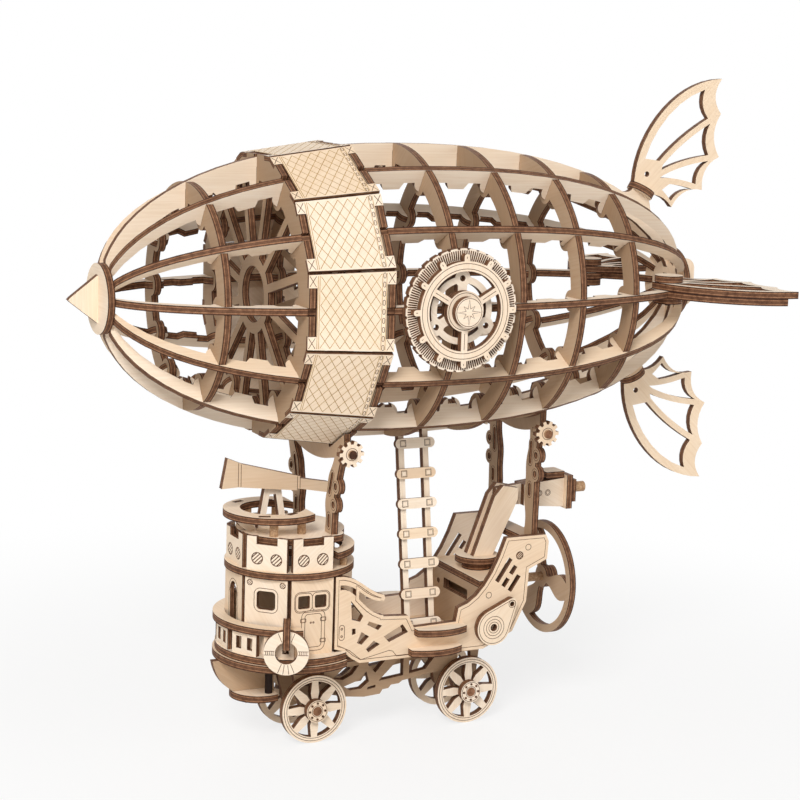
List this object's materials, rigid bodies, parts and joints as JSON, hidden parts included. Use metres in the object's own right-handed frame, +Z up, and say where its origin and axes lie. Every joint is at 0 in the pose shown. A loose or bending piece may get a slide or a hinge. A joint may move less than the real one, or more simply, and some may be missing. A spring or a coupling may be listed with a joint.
{
  "type": "airship model",
  "caption": "Desk model of an airship in slotted plywood: open rib and stringer hull with bat-wing fins, turning side wheels and a wheeled boat car with tower, telescope, gun and propeller.",
  "frame": {"origin": "on the floor under the middle of the overall box, between the four wheels' ground line", "axes": "+X from the nose to the tail, +Y to the right side as seen from the tail, +Z up"},
  "size_m": [0.2992, 0.1498, 0.2779],
  "materials": {
    "ply_pale": "bare sanded face",
    "ply_warm": "bare sanded face",
    "ply_dark": "burnt cut edge"
  },
  "bodies": {
    "frame": {"nose_tip": "ply_pale", "nose_disc": "ply_warm", "top_keel": "ply_pale", "bottom_keel": "ply_pale", "side_stringers": "ply_pale", "upper_stringers": "ply_pale", "lower_stringers": "ply_pale", "rib_1": "ply_warm", "rib_2": "ply_warm", "rib_3": "ply_warm", "rib_4": "ply_warm", "rib_5": "ply_warm", "rib_6": "ply_warm", "rib_7": "ply_warm", "tail_disc": "ply_warm", "tail_key": "ply_pale", "band_panels": "ply_pale", "emblem_backs": "ply_warm", "pivot_pins": "ply_dark", "strut_gears": "ply_pale", "upright_fins": "ply_pale", "side_fins": "ply_pale", "fin_collars": "ply_dark", "fin_bolts": "ply_dark", "front_hanger": "ply_warm", "rear_hanger": "ply_warm", "ladder_rails": "ply_warm", "ladder_rungs": "ply_pale", "floor_plate": "ply_warm", "walk_plate": "ply_warm", "bow_panels": "ply_pale", "bow_rail": "ply_warm", "life_ring": "ply_pale", "tower_walls": "ply_pale", "ring_deck": "ply_warm", "parapets": "ply_pale", "roof_deck": "ply_warm", "tower_posts": "ply_dark", "rear_rail": "ply_warm", "nest_ring": "ply_warm", "telescope_stand": "ply_pale", "side_plates": "ply_pale", "steps": "ply_warm", "stern_covers": "ply_pale", "turret_deck": "ply_warm", "bulkheads": "ply_pale", "truss_plates": "ply_pale", "bow_keel": "ply_pale", "bow_shelf": "ply_warm"},
    "helm_left": {"helm_left": "ply_pale"},
    "helm_right": {"helm_right": "ply_pale"},
    "telescope": {"telescope": "ply_pale"},
    "turret": {"turret": "ply_warm", "gun": "ply_pale"},
    "propeller": {"propeller": "ply_pale", "prop_shaft": "ply_dark"},
    "front_wheelset": {"front_axle": "ply_dark", "front_wheels": "ply_pale"},
    "rear_wheelset": {"rear_axle": "ply_dark", "rear_wheels": "ply_pale"}
  },
  "joints": [
    {"name": "helm_left_turn", "type": "hinge", "parent": "frame", "child": "helm_left", "pos_m": [-0.01065, -0.0657, 0.188], "axis": [0, 1, 0], "continuous": true},
    {"name": "helm_right_turn", "type": "hinge", "parent": "frame", "child": "helm_right", "pos_m": [-0.01065, 0.0657, 0.188], "axis": [0, 1, 0], "continuous": true},
    {"name": "telescope_tilt", "type": "hinge", "parent": "frame", "child": "telescope", "pos_m": [-0.06165, 0, 0.111], "axis": [0, 1, 0], "range_deg": [-18, 20]},
    {"name": "turret_swing", "type": "hinge", "parent": "frame", "child": "turret", "pos_m": [0.03535, 0, 0.065], "axis": [0, 0, 1], "range_deg": [-18, 18]},
    {"name": "propeller_spin", "type": "hinge", "parent": "frame", "child": "propeller", "pos_m": [0.06835, 0, 0.058], "axis": [1, 0, 0], "continuous": true},
    {"name": "front_wheel_roll", "type": "hinge", "parent": "frame", "child": "front_wheelset", "pos_m": [-0.04685, 0, 0.0146], "axis": [0, 1, 0], "continuous": true},
    {"name": "rear_wheel_roll", "type": "hinge", "parent": "frame", "child": "rear_wheelset", "pos_m": [0.02555, 0, 0.0146], "axis": [0, 1, 0], "continuous": true}
  ]
}
